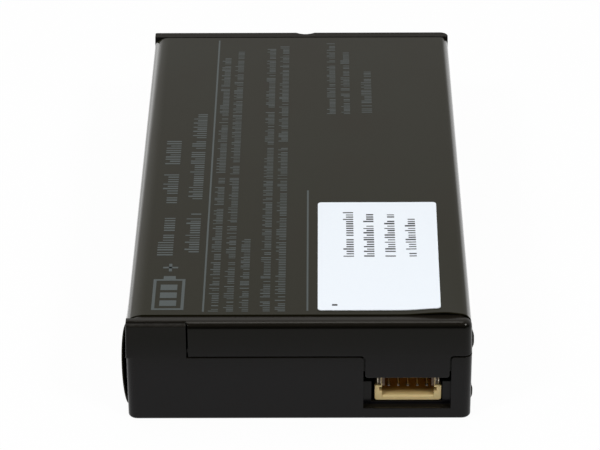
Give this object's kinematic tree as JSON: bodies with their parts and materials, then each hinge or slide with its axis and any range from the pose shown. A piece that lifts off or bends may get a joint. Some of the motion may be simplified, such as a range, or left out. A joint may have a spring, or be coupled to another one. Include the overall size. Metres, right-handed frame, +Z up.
{
  "type": "raid controller battery",
  "caption": "Flat rechargeable battery pack for a disk controller card: moulded shells wrapped in a printed film, with a small wire-to-board socket in the front face.",
  "frame": {"origin": "centre of the base, on the surface that the pack lies on", "axes": "+X across the pack with the socket on the +X side, +Y from the socket end to the rear, +Z up through the label"},
  "size_m": [0.0457, 0.085, 0.0149],
  "materials": {
    "case": "fine moulded grain",
    "film": "satin printed film",
    "sticker": "white coated paper",
    "socket": "natural nylon",
    "contact": "plated",
    "nail": "tinned",
    "board": "solder resist",
    "chip": "moulded epoxy",
    "shunt": "glazed",
    "fuse": "ceramic",
    "capacitor": "ceramic",
    "bead": "epoxy",
    "can": "drawn can",
    "card": "fibre card",
    "cutoff": "moulded",
    "strip": "nickel",
    "foam": "closed-cell foam"
  },
  "bodies": {
    "root": {"upper_case": "case", "lower_case": "case", "wrap_label": "film", "part_sticker": "sticker", "socket_housing": "socket", "socket_pins": "contact", "socket_nails": "nail", "circuit_board": "board", "gauge_chip": "chip", "protection_chip": "chip", "protection_fets": "chip", "sense_resistor": "shunt", "board_fuse": "fuse", "chip_capacitors": "capacitor", "chip_resistors": "shunt", "thermistor": "bead", "cell": "can", "lid_insulator": "card", "thermal_cutoff": "cutoff", "link_strip": "strip", "negative_strip": "strip", "positive_strip": "strip", "floor_pad": "foam", "roof_pad": "foam"}
  },
  "joints": []
}
